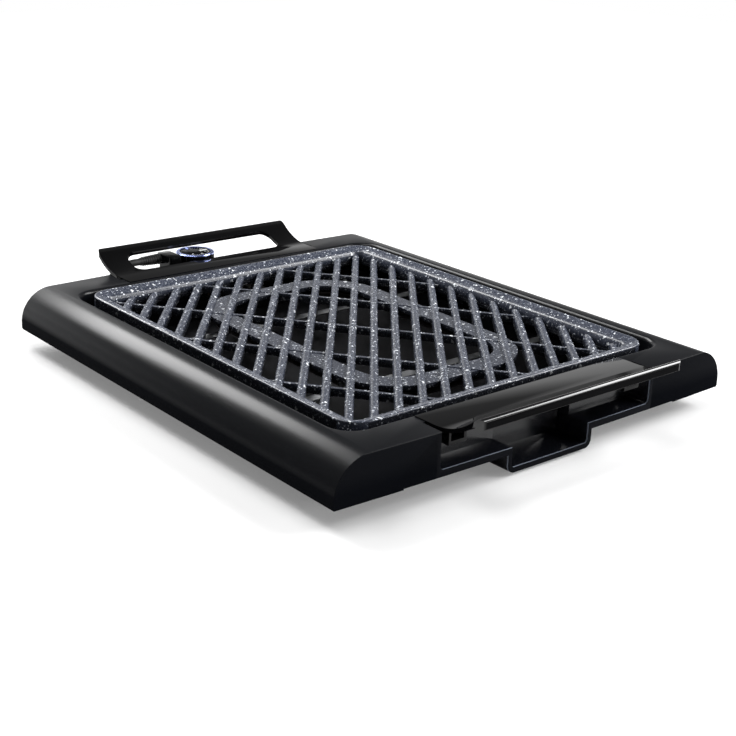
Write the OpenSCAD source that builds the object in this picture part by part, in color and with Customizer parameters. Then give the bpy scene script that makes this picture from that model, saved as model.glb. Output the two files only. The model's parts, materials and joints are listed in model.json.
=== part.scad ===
// Electric countertop grill: low black housing, lift-off grill plate over a heating element,
// drip tray, two scooped handles and a plug-in heat controller with its lead.
// Millimetres. X runs through both handles, Z is up, Z = 0 is the table.

/* [Housing] */
// length of the housing at its corners
body_len = 460; // [452:1:468]
// width of the housing across its long sides
body_wid = 406; // [398:1:412]
// height of the rubber feet under the base pan
foot_h = 2.3; // [2:0.1:4]
// radius that rounds both long top edges
side_r = 30; // [27:0.5:31]
// how far each end bows out at the middle
bow = 3.5; // [2.5:0.25:4]
// radius that rounds the top edge of the well
well_edge = 4; // [3:0.5:4.5]
// half width of the hand recess in each end
rec_w = 111.2; // [110.6:0.2:112]
// half width of the channel under the recess
ch_w = 40.9; // [40:0.1:42]

/* [Grill plate] */
// gap between plate and housing at the ends
gap_x = 6; // [5.5:0.25:6.5]
// gap between plate and housing at the long sides
gap_y = 9.5; // [8.5:0.25:10.5]
// direction of the thick bars, degrees from X
bar_dir = 140.72; // [138:0.5:143]
// spacing of the thick bars
bar_pitch = 18.29; // [17.5:0.1:19]
// width of the thick bars
bar_w = 6.8; // [6:0.1:7.4]
// direction of the thin cross ribs, degrees from X
rib_dir = 37.76; // [36:0.5:40]
// spacing of the thin cross ribs
rib_pitch = 74.6; // [70:0.5:78]
// width of the thin cross ribs
rib_w = 3.4; // [2.8:0.1:4]

/* [Handles] */
// half width of each handle
hand_w = 108; // [106:0.5:109]
// half width of the finger slot in each handle
slot_w = 83; // [78:0.5:86]
// radius of the scooped top face of each handle
scoop_r = 59; // [58.6:0.1:59.4]

/* [Controller] */
// radius of the heat dial
dial_r = 18.8; // [17.5:0.1:19]
// height of the dial's top above the housing's top
dial_up = 4.6; // [4:0.1:5]
// radius of the mains lead
cord_r = 3.5; // [3.2:0.05:3.6]

/* [Hidden] */
zt = foot_h + 49.7;
hx = body_len / 2;
hy = body_wid / 2;
wall = 3;
end_z = zt - 34.7;
shelf_z = zt - 29.4;
ch_z = zt - 45.5;
well_x = hx - 33.5;
well_y = hy - 35.5;
bow_r = (hy * hy + bow * bow) / (2 * bow);
rec_x = hx - 18;
led_z = zt - 24;
px = well_x - gap_x;
py = well_y - gap_y;
well_r = 20;
rim_r = 20;
rim_d = 13.5;
bar_z = zt - 5.2;
grid_z = zt - 14.5;
bar_shift = 3.66;
rib_h = 6.5;
border_w = 1.2;
border_h = 2.7;
grid_x = px - rim_d;
grid_y = py - rim_d;
span = norm([px, py]);
el_z = zt - 18.5;
el_r = 3.5;
lx = 130;
ly = 78;
el_bend = 45;
post_gap = 0.3;
ty_x = px - 3.5;
ty_y = py + 1.5;
tray_z = zt - 42;
sp_x = lx - el_bend;
pin_y = 14;
hxo = hx + 35.5;
arc_x = hx - 10;
bead_r = 3;
bead_x = 42.5;
bead_z = sqrt(pow(scoop_r + bead_r + 0.1, 2) - pow(bead_x, 2));
tongue_z = zt - 2.6;
top_h = zt + 0.6;
cx = -(hx + 17.2);
cy = -8;
pan_x = hx - 22.5;
pan_y = hy - 27;
foot_x = hx - 45;
foot_y = hy - 53;
scr_x = [-foot_x, -foot_x / 3, foot_x / 3, foot_x];
scr_y = hy - 12;
fix_x = hx - 25.5;
fix_y = 70;
con_z = zt - 18.5;
should_z = zt + 4.2;
should_y = -35;
gland_x = -(hx + 28);
gland_z = zt - 0.6;
coil_p = [-286, -10];
coil_z = 4.5;
e = 0.01;

// rounded rectangle, centred
module rr(a, b, r) {
  union() {
    square([2 * a, 2 * (b - r)], center = true);
    square([2 * (a - r), 2 * b], center = true);
    for (x = [-1, 1])
      for (y = [-1, 1])
        translate([x * (a - r), y * (b - r)])
          circle(r = r, $fn = 64);
  }
}

// upright rounded block, centred in plan, from z0 to z1
module slab(a, b, r, z0, z1) {
  translate([0, 0, z0])
    linear_extrude(height = z1 - z0)
      rr(a, b, r);
}

// box from its low corner to its high corner
module bx(lo, hi) {
  translate(lo)
    cube(hi - lo);
}

// sweeps a profile round a rounded rectangle: its x is the distance from a corner's centre
module around(a, b, r) {
  for (s = [0, 180])
    rotate([0, 0, s]) {
      translate([a - r, b - r, 0])
        rotate([90, 0, 0])
          linear_extrude(height = 2 * (b - r))
            children();
      translate([-a + r, b - r, 0])
        rotate([90, 0, 90])
          linear_extrude(height = 2 * (a - r))
            children();
      translate([a - r, b - r, 0])
        rotate_extrude(angle = 90, $fn = 96)
          children();
      translate([-a + r, b - r, 0])
        rotate([0, 0, 90])
          rotate_extrude(angle = 90, $fn = 96)
            children();
    }
}

module at_ends() {
  for (s = [0, 180])
    rotate([0, 0, s])
      children();
}

// cross-section of the housing, with its long top edges rounded
module side_profile(w, r, z0, z1) {
  union() {
    translate([-w, z0])
      square([2 * w, z1 - r - z0]);
    translate([-(w - r), z0])
      square([2 * (w - r), z1 - z0]);
    for (s = [-1, 1])
      translate([s * (w - r), z1 - r])
        circle(r = r, $fn = 96);
  }
}

module along_x(len) {
  translate([-len / 2, 0, 0])
    rotate([90, 0, 90])
      linear_extrude(height = len)
        children();
}

module bow_plan() {
  intersection() {
    translate([bow_r - hx - bow, 0])
      circle(r = bow_r, $fn = 360);
    translate([-(bow_r - hx - bow), 0])
      circle(r = bow_r, $fn = 360);
    square([2 * hx + 20, 2 * hy + 2], center = true);
  }
}

// block along X with rounded long edges, from z0 up past the deck
module trough(x0, x1, half, z0, r) {
  translate([x0, 0, (z0 + zt + 12) / 2])
    rotate([90, 0, 90])
      linear_extrude(height = x1 - x0)
        rr(half, (zt + 12 - z0) / 2, r);
}

// stock of one end cup, which the hand recess and channel are cut from
module end_stock(below) {
  bx([rec_x - wall, -rec_w - wall, end_z - below], [hx + 10, rec_w + wall, tongue_z]);
  intersection() {
    trough(well_x, hx + 10, ch_w + 3.6, foot_h, 6.6);
    bx([well_x - 1, -ch_w - 5, 0], [hx + 11, ch_w + 5, tongue_z]);
  }
  bx([well_x, -rec_w - wall, zt - 12], [rec_x, rec_w + wall, tongue_z]);
}

module end_cuts() {
  trough(rec_x, hx + 12, rec_w, shelf_z, 4);
  trough(well_x + 3.5, hx + 12, ch_w, ch_z, 3);
  for (y = [-fix_y, fix_y])
    translate([fix_x, y, zt - 13])
      cylinder(r = 1.7, h = 14, $fn = 32);
  for (y = [-fix_y, fix_y])
    translate([fix_x, y, zt - 9.2])
      cylinder(r = 4.1, h = 8, $fn = 32);
}

// what rounds the top edge of the well
module well_lip() {
  translate([well_r, zt])
    difference() {
      translate([-1, -well_edge])
        square([well_edge + 1, well_edge + 1]);
      translate([well_edge, -well_edge])
        circle(r = well_edge, $fn = 64);
    }
}

// what the handles and the cups take out of the housing's deck
module deck_cuts() {
  bx([rec_x, -rec_w, tongue_z - 1], [hx + 12, rec_w, zt + 1]);
  bx([well_x + 3.4, -hand_w - 0.3, tongue_z - 1], [hx + 12, hand_w + 0.3, zt + 1]);
}

module housing_shell() {
  color([0.05, 0.05, 0.055])
    difference() {
      union() {
        difference() {
          intersection() {
            along_x(2 * hx + 10)
              side_profile(hy, side_r, end_z, zt);
            translate([0, 0, end_z - 1])
              linear_extrude(height = 40)
                bow_plan();
          }
          along_x(2 * (hx - wall))
            side_profile(hy - wall, side_r - wall, end_z - 2, zt - wall);
        }
        slab(well_x + wall, well_y + wall, 23, led_z - 2, zt - 1);
        for (x = scr_x)
          for (s = [-1, 1])
            translate([x, s * scr_y, end_z + 4])
              cylinder(r = 4, h = 19.7, $fn = 32);
      }
      slab(well_x, well_y, well_r, led_z, zt + 1);
      slab(well_x - 16.5, well_y - 17.5, 10, led_z - 5, zt + 1);
      around(well_x, well_y, well_r)
        well_lip();
      at_ends() {
        end_stock(1);
        deck_cuts();
      }
      for (x = scr_x)
        for (s = [-1, 1])
          translate([x, s * scr_y, end_z])
            cylinder(r = 1.5, h = 17, $fn = 32);
    }
}

// moulded cup let into one end: hand recess, channel and the blocks under the handle
module end_cup() {
  color([0.05, 0.05, 0.055])
    difference() {
      intersection() {
        end_stock(0);
        translate([0, 0, foot_h])
          linear_extrude(height = 60)
            bow_plan();
      }
      end_cuts();
    }
}

module cup_near() {
  end_cup();
}

module cup_far() {
  difference() {
    rotate([0, 0, 180])
      end_cup();
    bx([-hx + 25, -34.2, zt - 28], [-well_x + 1, 34.2, zt - 8]);
  }
}

module base_pan() {
  color([0.07, 0.07, 0.075])
    difference() {
      union() {
        slab(pan_x, pan_y, 22, foot_h, end_z + 4);
        slab(hx - 3.3, hy - 3.3, 4, end_z + 2, end_z + 4);
      }
      slab(pan_x - 2, pan_y - 2, 20, foot_h + 2, end_z + 5);
      at_ends()
        bx([rec_x - wall - 0.3, -rec_w - wall - 0.3, end_z - 0.3],
          [hx + 9, rec_w + wall + 0.3, zt]);
      at_ends()
        bx([well_x - 0.3, -ch_w - 3.9, 0], [hx + 9, ch_w + 3.9, zt]);
      for (x = [-foot_x, foot_x])
        for (y = [-foot_y, foot_y])
          translate([x, y, 0])
            cylinder(r = 2.5, h = 9, $fn = 32);
      for (x = scr_x)
        for (s = [-1, 1])
          translate([x, s * scr_y, end_z])
            cylinder(r = 1.7, h = 9, $fn = 32);
    }
}

module foot(x, y) {
  color([0.03, 0.03, 0.03])
    translate([x, y, 0])
      union() {
        cylinder(r = 10, h = foot_h, $fn = 48);
        cylinder(r = 2.4, h = foot_h + 3, $fn = 32);
        translate([0, 0, foot_h + 2])
          cylinder(r = 4, h = 1.6, $fn = 32);
      }
}

module pan_screw(x, y) {
  color([0.55, 0.55, 0.57])
    translate([x, y, end_z])
      difference() {
        union() {
          cylinder(r = 3.4, h = 2, $fn = 32);
          cylinder(r = 1.5, h = 15, $fn = 32);
        }
        bx([-2.4, -0.5, -1], [2.4, 0.5, 0.9]);
        bx([-0.5, -2.4, -1], [0.5, 2.4, 0.9]);
      }
}

// side view of a handle: flat tongue, scooped flare and thick front lip
module handle_profile() {
  union() {
    translate([well_x + 3.5, tongue_z])
      square([arc_x - well_x - 3.5, top_h - tongue_z]);
    intersection() {
      difference() {
        translate([arc_x, top_h + scoop_r])
          circle(r = scoop_r + 3.2, $fn = 180);
        translate([arc_x, top_h + scoop_r])
          circle(r = scoop_r, $fn = 180);
      }
      translate([arc_x, top_h - 5])
        square([41, 21.4]);
    }
    translate([arc_x + bead_x, top_h + scoop_r - bead_z])
      circle(r = bead_r, $fn = 64);
    translate([hxo - 5.4, top_h + 10.6])
      square([5.4, 3.3]);
    for (x = [hxo - 3.6, hxo - 1.8])
      translate([x, top_h + 10.6])
        circle(r = 1.8, $fn = 32);
    translate([hxo - 3.6, top_h + 8.8])
      square([1.8, 2]);
  }
}

module handle() {
  color([0.02, 0.02, 0.022])
    difference() {
      union() {
        intersection() {
          translate([0, hand_w, 0])
            rotate([90, 0, 0])
              linear_extrude(height = 2 * hand_w)
                handle_profile();
          translate([hx - 20, 0, 0])
            slab(hxo - hx + 20, hand_w, 9, 0, zt + 40);
        }
        for (s = [-1, 1])
          translate([0, s * 92.5, 0])
            bx([rec_x + 2, -8.5, zt - 14.5], [hx - 1, 8.5, tongue_z + 0.4]);
        for (y = [-fix_y, fix_y])
          translate([fix_x, y, zt - 9])
            cylinder(r = 4, h = 8, $fn = 32);
      }
      for (y = [-fix_y, fix_y])
        translate([fix_x, y, zt - 10])
          cylinder(r = 1.3, h = 8.5, $fn = 32);
      translate([hx + 11.05, 0, 0])
        slab(13.75, slot_w, 10, zt - 6, zt + 40);
      for (s = [-1, 1])
        translate([0, s * 92.5, 0])
          bx([rec_x + 4, -6.5, zt - 11.5], [hx + 2, 6, tongue_z - 2]);
    }
}

module handle_near() {
  handle();
}

module handle_far() {
  rotate([0, 0, 180])
    handle();
}

module handle_screw(x, y) {
  color([0.55, 0.55, 0.57])
    translate([x, y, zt - 14])
      union() {
        cylinder(r = 3, h = 2, $fn = 32);
        cylinder(r = 1.3, h = 10, $fn = 32);
      }
}

module terminal_block() {
  color([0.16, 0.14, 0.12])
    difference() {
      union() {
        bx([-hx + 24, -36, zt - 28], [-well_x - 3.5, 36, zt - 6]);
        bx([-well_x - 4, -34, zt - 28], [-well_x - 0.4, 34, zt - 8.2]);
        bx([-well_x - 0.5, -28, zt - 24], [-well_x + 8, 28, zt - 15.4]);
      }
      for (s = [-1, 1])
        translate([0, s * pin_y, con_z]) {
          bx([-well_x, -3.5, 0], [-well_x + 9, 3.5, 12]);
          rod_x(-well_x, -well_x + 9, 0, 3.5);
          rod_x(-hx, -well_x + 1, 0, 2.5);
        }
      translate([0, 0, con_z])
        rod_x(-hx, -well_x + 12, 0, 3.3);
    }
}

module saddle_contact(s) {
  color([0.8, 0.55, 0.3])
    translate([-well_x, s * pin_y, con_z])
      difference() {
        union() {
          bx([0, -3.5, 0], [7, 3.5, 3]);
          rod_x(0, 7, 0, 3.5);
        }
        bx([0.5, -2.6, 0], [8, 2.6, 5]);
        rod_x(0.5, 8, 0, 2.6);
      }
}

module terminal_pin(s) {
  color([0.75, 0.75, 0.77])
    translate([-hx + 6, s * pin_y, con_z])
      rotate([0, 90, 0])
        union() {
          translate([0, 0, 1.5])
            cylinder(r = 2.5, h = hx - well_x - 7.5, $fn = 32);
          cylinder(r1 = 1.6, r2 = 2.5, h = 1.5, $fn = 32);
        }
}

module drip_tray() {
  color([0.45, 0.46, 0.48])
    difference() {
      union() {
        slab(ty_x - 9, ty_y - 11.5, 12, tray_z, led_z + 1);
        slab(ty_x, ty_y, 14, led_z, led_z + 1);
      }
      slab(ty_x - 10, ty_y - 12.5, 11, tray_z + 1, led_z + 2);
    }
}

// quarter bend of the heating tube, centred at (x, y), turned by a
module bend(x, y, r, a) {
  translate([x, y, 0])
    rotate([0, 0, a])
      rotate_extrude(angle = 90, $fn = 96)
        translate([r, 0])
          circle(r = el_r, $fn = 32);
}

module rod_x(x0, x1, y, r) {
  translate([x0, y, 0])
    rotate([0, 90, 0])
      cylinder(r = r, h = x1 - x0, $fn = 32);
}

module rod_y(x, y0, y1, r) {
  translate([x, y1, 0])
    rotate([90, 0, 0])
      cylinder(r = r, h = y1 - y0, $fn = 32);
}

module element_tube() {
  color([0.3, 0.29, 0.28])
    translate([0, 0, el_z])
      union() {
        rod_x(-lx + el_bend, lx - el_bend, -ly, el_r);
        rod_x(-lx + el_bend, lx - el_bend, ly, el_r);
        rod_y(lx, -ly + el_bend, ly - el_bend, el_r);
        bend(lx - el_bend, ly - el_bend, el_bend, 0);
        bend(-lx + el_bend, ly - el_bend, el_bend, 90);
        bend(-lx + el_bend, -ly + el_bend, el_bend, 180);
        bend(lx - el_bend, -ly + el_bend, el_bend, 270);
        rod_y(-lx, -ly + el_bend, -pin_y - 12, el_r);
        rod_y(-lx, pin_y + 12, ly - el_bend, el_r);
        bend(-lx - 12, -pin_y - 12, 12, 0);
        bend(-lx - 12, pin_y + 12, 12, 270);
        rod_x(-well_x + 19, -lx - 12, -pin_y, el_r);
        rod_x(-well_x + 19, -lx - 12, pin_y, el_r);
      }
}

module element_end(s) {
  color([0.88, 0.86, 0.8])
    translate([0, 0, el_z])
      union() {
        rod_x(-well_x + 12, -well_x + 19, s * pin_y, 3.8);
        rod_x(-well_x + 1, -well_x + 12, s * pin_y, 2.5);
      }
}

module element_rest(x) {
  color([0.6, 0.6, 0.62])
    union() {
      bx([x - 5, -py + 4, led_z + 1], [x + 5, py - 4, el_z - el_r]);
      for (s = [-1, 1])
        for (t = [-1, 1])
          translate([x, s * ly + t * (el_r + post_gap + 0.6), led_z + 1])
            bx([-4, -0.6, 0], [4, 0.6, 2 * el_r]);
    }
}

// cross-section of the plate's rim: x is the distance from the corner's centre
module rim_profile() {
  translate([rim_r, zt])
    polygon([[0, -23], [0, 0.2], [-0.3, 0.7], [-0.9, 1], [-2, 1], [-10.8, -1.8],
      [-11.7, -2.4], [-12.3, -3.2], [-13.3, -5], [-13.5, -6], [-13.5, -14.5],
      [-11.5, -14.5], [-11.5, -6], [-9.8, -4], [-3, -1.6], [-3, -23]]);
}

module plate_rim() {
  color([0.2, 0.21, 0.24])
    difference() {
      around(px, py, rim_r)
        rim_profile();
      at_ends()
        bx([px - 5, -32, zt - 24], [px + 1, 32, zt - 11]);
    }
}

module bar() {
  rotate([90, 0, 90])
    linear_extrude(height = 2 * span)
      union() {
        translate([0, bar_z - bar_w / 2])
          circle(r = bar_w / 2, $fn = 32);
        translate([-bar_w / 2, grid_z])
          square([bar_w, bar_z - bar_w / 2 - grid_z]);
      }
}

// how far the plate's opening reaches across bars that run in a direction
function reach(a) = grid_x * abs(sin(a)) + grid_y * abs(cos(a));

module plate_grid() {
  bar_lo = -floor((reach(bar_dir) + bar_shift - bar_w) / bar_pitch);
  bar_hi = floor((reach(bar_dir) - bar_shift - bar_w) / bar_pitch);
  rib_n = floor((reach(rib_dir) - rib_w) / rib_pitch);
  color([0.16, 0.17, 0.2])
    intersection() {
      union() {
        for (n = [bar_lo:bar_hi])
          rotate([0, 0, bar_dir])
            translate([-span, bar_shift + n * bar_pitch, 0])
              bar();
        for (n = [-rib_n:rib_n])
          rotate([0, 0, rib_dir])
            translate([-span, n * rib_pitch - rib_w / 2, grid_z])
              cube([2 * span, rib_w, rib_h]);
        difference() {
          slab(lx + 10, ly + 10, el_bend + 10, zt - 12.5, zt - 8.5);
          slab(lx - 10, ly - 10, el_bend - 10, zt - 13, zt - 8);
        }
        for (s = [-1, 1]) {
          translate([-grid_x - 1, s * (grid_y - border_w / 2) - border_w / 2, grid_z])
            cube([2 * grid_x + 2, border_w, border_h]);
          translate([s * (grid_x - border_w / 2) - border_w / 2, -grid_y - 1, grid_z])
            cube([border_w, 2 * grid_y + 2, border_h]);
        }
      }
      slab(grid_x, grid_y, rim_r - rim_d, grid_z, zt);
    }
}

// plan of the controller's case, wide outside the housing and narrow in the channel
module case_plan(g) {
  union() {
    translate([-(hx + 20), -15])
      rr(14 - g, 27 - g, 7 - g);
    translate([-(hx - 5), 0])
      square([32 - 2 * g, 60 - 2 * g], center = true);
  }
}

module case_bores() {
  translate([0, 0, con_z]) {
    rod_x(-(hx - 15), -(hx - 25), -pin_y, 4);
    rod_x(-(hx - 15), -(hx - 25), pin_y, 4);
    rod_x(-(hx - 15), -(hx - 25), 0, 3);
  }
}

module case_lower() {
  color([0.05, 0.05, 0.055])
    difference() {
      union() {
        difference() {
          translate([0, 0, con_z - 13])
            linear_extrude(height = 13)
              case_plan(0);
          translate([0, 0, con_z - 11])
            linear_extrude(height = 12)
              case_plan(2);
        }
        for (s = [-1, 1])
          translate([-(hx - 1), s * 24, con_z - 12])
            cylinder(r = 4.5, h = 12, $fn = 32);
      }
      case_bores();
      for (s = [-1, 1])
        translate([-(hx - 1), s * 24, con_z - 14]) {
          cylinder(r = 2.9, h = 4, $fn = 32);
          cylinder(r = 1.5, h = 20, $fn = 32);
        }
    }
}

module case_upper() {
  color([0.05, 0.05, 0.055])
    difference() {
      union() {
        difference() {
          translate([0, 0, con_z])
            linear_extrude(height = 13)
              case_plan(0);
          translate([0, 0, con_z - 1])
            linear_extrude(height = 12)
              case_plan(2);
        }
        translate([-(hx + 21), should_y, 0])
          slab(13, 7, 3, con_z + 12, should_z);
        for (s = [-1, 1])
          translate([-(hx - 1), s * 24, con_z])
            cylinder(r = 4.5, h = 12, $fn = 32);
      }
      case_bores();
      for (s = [-1, 1])
        translate([-(hx - 1), s * 24, con_z - 1])
          cylinder(r = 1.2, h = 10, $fn = 32);
      translate([-(hx + 22), should_y, 0])
        slab(9, 5, 2, con_z + 10, should_z - 2);
      translate([gland_x, 0, gland_z])
        rod_y(0, -45, -38, 3.6);
      translate([cx, cy, con_z + 8])
        cylinder(r = 3.3, h = 8, $fn = 32);
    }
}

module case_screw(s) {
  color([0.55, 0.55, 0.57])
    translate([-(hx - 1), s * 24, con_z - 12])
      union() {
        cylinder(r = 2.7, h = 2, $fn = 32);
        cylinder(r = 1.2, h = 19, $fn = 32);
      }
}

module thermostat() {
  color([0.7, 0.68, 0.6])
    difference() {
      union() {
        bx([cx - 10, cy - 12, con_z - 11], [cx + 14, cy + 16, con_z + 4]);
        translate([cx, cy, con_z])
          cylinder(r = 6, h = 9, $fn = 32);
      }
      translate([cx, cy, con_z + 2])
        cylinder(r = 3.05, h = 9, $fn = 32);
    }
}

module socket(s) {
  color([0.8, 0.62, 0.35])
    translate([0, s * pin_y, con_z])
      difference() {
        rod_x(-(hx - 3), -(hx - 22), 0, 4);
        rod_x(-(hx - 5), -(hx - 23), 0, 2.55);
      }
}

module sensing_stud() {
  color([0.7, 0.7, 0.72])
    translate([0, 0, con_z])
      union() {
        rod_x(cx + 14, -well_x + 7, 0, 3);
        translate([-well_x + 7, 0, 0])
          sphere(r = 1.5, $fn = 32);
      }
}

module cord_gland() {
  color([0.04, 0.04, 0.04])
    translate([gland_x, 0, gland_z])
      rotate([90, 0, 0])
        union() {
          translate([0, 0, 42])
            cylinder(r1 = 4.7, r2 = 3.9, h = 22, $fn = 32);
          translate([0, 0, 38])
            cylinder(r = 3.6, h = 5, $fn = 32);
        }
}

module dial_knob() {
  color([0.02, 0.02, 0.022])
    translate([cx, cy, zt + dial_up])
      difference() {
        union() {
          translate([0, 0, -9.7])
            cylinder(r = dial_r - 0.4, h = 8.1, $fn = 64);
          translate([0, 0, -2])
            cylinder(r = dial_r - 3.5, h = 1.4, $fn = 64);
        }
        translate([0, 0, -10])
          cylinder(r = 3, h = 6.5, $fn = 32);
      }
}

module dial_ring() {
  color([0.75, 0.78, 0.85])
    translate([cx, cy, zt + dial_up - 1.6])
      difference() {
        union() {
          cylinder(r = dial_r, h = 1, $fn = 64);
          cylinder(r1 = dial_r, r2 = dial_r - 0.6, h = 1.6, $fn = 64);
        }
        translate([0, 0, -1])
          cylinder(r = dial_r - 3.5, h = 4, $fn = 64);
      }
}

module dial_mark() {
  color([0.9, 0.9, 0.9])
    translate([cx, cy, zt + dial_up - 0.6])
      bx([-1, 5, 0], [1, 13.5, 0.4]);
}

module dial_shaft() {
  color([0.75, 0.72, 0.6])
    translate([cx, cy, con_z + 2.2])
      cylinder(r = 3, h = zt + dial_up - con_z - 5.7, $fn = 32);
}

function unit(v) = v / norm(v);
function dir(p, i) = unit(p[min(i + 1, len(p) - 1)] - p[max(i - 1, 0)]);
function side(t, n) = unit(n - (n * t) * t);
function sides(p, n, i = 0) = i == len(p) ? [] :
  concat([side(dir(p, i), n)], sides(p, side(dir(p, i), n), i + 1));
function mid(a, b, c, d) = (9 * b + 9 * c - a - d) / 16;
function smooth(p) = [for (i = [0:len(p) - 1])
  for (k = [0:1])
    if (k == 0) p[i]
    else if (i < len(p) - 1)
      mid(p[max(i - 1, 0)], p[i], p[i + 1], p[min(i + 2, len(p) - 1)])];

// round lead swept through a list of points, k sides round
module lead(p, r, k) {
  n = sides(p, [0.1, 0.02, 1]);
  m = len(p);
  polyhedron(
    points = [for (i = [0:m - 1])
      for (j = [0:k - 1])
        p[i] + r * (cos(360 * j / k) * n[i] + sin(360 * j / k) * cross(dir(p, i), n[i]))],
    faces = concat(
      [[for (j = [0:k - 1]) k - 1 - j]],
      [for (i = [0:m - 2])
        for (j = [0:k - 1])
          [i * k + j, i * k + (j + 1) % k, (i + 1) * k + (j + 1) % k]],
      [for (i = [0:m - 2])
        for (j = [0:k - 1])
          [i * k + j, (i + 1) * k + (j + 1) % k, (i + 1) * k + j]],
      [[for (j = [0:k - 1]) (m - 1) * k + j]]));
}

// the lead from the gland down to the table and round to the coil
route = [[-258, -64, 51.4], [-258, -68, 51.4], [-258, -72, 51.4], [-258.5, -79, 50.4],
  [-259, -86, 47.5], [-259.5, -92, 42.9], [-260, -96.5, 37], [-260.5, -99.5, 30.5],
  [-261, -101.5, 23.5], [-261.5, -104.6, 17.2], [-262.2, -109.1, 11.8], [-263.3, -114.8, 7.7],
  [-264.7, -121.3, 5.1], [-266.4, -129.6, 3.8], [-268.3, -140.5, 3.6], [-273.8, -150, 3.6],
  [-282.3, -157.1, 3.6], [-292.7, -160.9, 3.6], [-303.7, -160.9, 3.6], [-314.1, -157.1, 3.6],
  [-322.6, -150, 3.6], [-328.1, -140.5, 3.6], [-330, -129.6, 3.6], [-330, -100, 3.8],
  [-330, -70, 4.3], [-330, -42, 4.5], [-330, -26, 4.5], [-330, -18, 4.5]];

// distance from the coil's middle and height of the lead after t turns
function ease(u) = u * u * (3 - 2 * u);
function coil_r(t) = t < 0.75 ? 44 :
  t < 1 ? 44 - 7.8 * ease((t - 0.75) * 4) :
  t < 1.55 ? 36.2 :
  t < 1.9 ? 44 - (7.8 + 1.1 * rise(t)) * cos(63.5 * rise(t)) : 40.03;
function coil_h(t) = t < 1.55 ? 0 :
  t < 1.9 ? (7.8 + 1.1 * rise(t)) * sin(63.5 * rise(t)) : 7.97;
function rise(t) = ease((t - 1.55) / 0.35);

coil = concat(
  [[-330, -18, 4.5], [-330, -14, 4.5]],
  [for (i = [0:60])
    [coil_p[0] + coil_r(i / 24) * cos(180 - 15 * i),
      coil_p[1] + coil_r(i / 24) * sin(180 - 15 * i),
      coil_z + coil_h(i / 24)]],
  [[-245.97, -20, 12.47], [-245.97, -30, 12.3], [-246.3, -38, 10.9], [-246.9, -44, 9.3],
    [-247, -49, 9], [-247, -56, 9]]);

// least free gap between two turns of the coil, measured on its points
gaps = [for (i = [0:len(coil) - 14])
  for (j = [i + 13:len(coil) - 1])
    norm(coil[i] - coil[j]) - 2 * cord_r];
echo(coil_gap = min(gaps));

module cord() {
  color([0.03, 0.03, 0.032])
    lead(smooth(route), cord_r, 12);
}

module cord_coil() {
  color([0.03, 0.03, 0.032])
    lead(coil, cord_r, 8);
}

module cord_tie() {
  color([0.02, 0.02, 0.02])
    difference() {
      bx([-290, 21.3, 0.1], [-282, 39, 17]);
      bx([-291, 22.4, 1.1], [-281, 37.6, 15.9]);
    }
}

module plug_body() {
  color([0.04, 0.04, 0.04])
    union() {
      translate([-247, -64, 9])
        rotate([90, 0, 0])
          linear_extrude(height = 34)
            rr(13, 9, 4);
      translate([-247, -56, 9])
        rotate([90, 0, 0])
          cylinder(r1 = 3.9, r2 = 6.5, h = 9, $fn = 32);
    }
}

module plug_blade(s) {
  color([0.8, 0.75, 0.55])
    difference() {
      bx([-247 + s * 6.35 - 0.75, -114, 5.8], [-247 + s * 6.35 + 0.75, -94, 12.2]);
      translate([-247 + s * 6.35 - 2, -110, 9])
        rotate([0, 90, 0])
          cylinder(r = 1.6, h = 4, $fn = 32);
    }
}

housing_shell();
cup_near();
cup_far();
base_pan();
foot(-foot_x, -foot_y);  // foot_fl
foot(foot_x, -foot_y);  // foot_fr
foot(-foot_x, foot_y);  // foot_rl
foot(foot_x, foot_y);  // foot_rr
pan_screw(scr_x[0], -scr_y);  // pan_screw_1
pan_screw(scr_x[1], -scr_y);  // pan_screw_2
pan_screw(scr_x[2], -scr_y);  // pan_screw_3
pan_screw(scr_x[3], -scr_y);  // pan_screw_4
pan_screw(scr_x[0], scr_y);  // pan_screw_5
pan_screw(scr_x[1], scr_y);  // pan_screw_6
pan_screw(scr_x[2], scr_y);  // pan_screw_7
pan_screw(scr_x[3], scr_y);  // pan_screw_8
handle_near();
handle_far();
handle_screw(fix_x, -fix_y);  // handle_screw_1
handle_screw(fix_x, fix_y);  // handle_screw_2
handle_screw(-fix_x, -fix_y);  // handle_screw_3
handle_screw(-fix_x, fix_y);  // handle_screw_4
terminal_block();
saddle_contact(-1);  // saddle_contact_l
saddle_contact(1);  // saddle_contact_r
terminal_pin(-1);  // terminal_pin_l
terminal_pin(1);  // terminal_pin_r
drip_tray();
element_tube();
element_rest(-sp_x);  // element_rest_a
element_rest(sp_x);  // element_rest_b
element_end(-1);  // element_end_l
element_end(1);  // element_end_r
plate_rim();
plate_grid();
case_lower();
case_upper();
case_screw(-1);  // case_screw_a
case_screw(1);  // case_screw_b
thermostat();
socket(-1);  // socket_l
socket(1);  // socket_r
sensing_stud();
cord_gland();
dial_knob();
dial_ring();
dial_mark();
dial_shaft();
cord();
cord_coil();
cord_tie();
plug_body();
plug_blade(-1);  // plug_blade_l
plug_blade(1);  // plug_blade_r
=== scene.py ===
# %% [markdown]
# # An electric countertop grill
#
# The real object is a low black plastic housing with a cast grill plate lying in it.
# Two scooped handles sit on its ends, and a plug-in controller with a dial feeds the heating loop.
# The CAD model already holds every rigid part at its true size.
# This file gives those parts their finish, rounds the edges that catch the light,
# and models what CAD left plain: the lead, the rings of its gland and plug, the dial's grips
# and printed scale, and the swellings where the plate's ribs cross its bars.

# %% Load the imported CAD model
import json
import math

import bmesh
import bpy
from mathutils import Matrix, Vector

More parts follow.
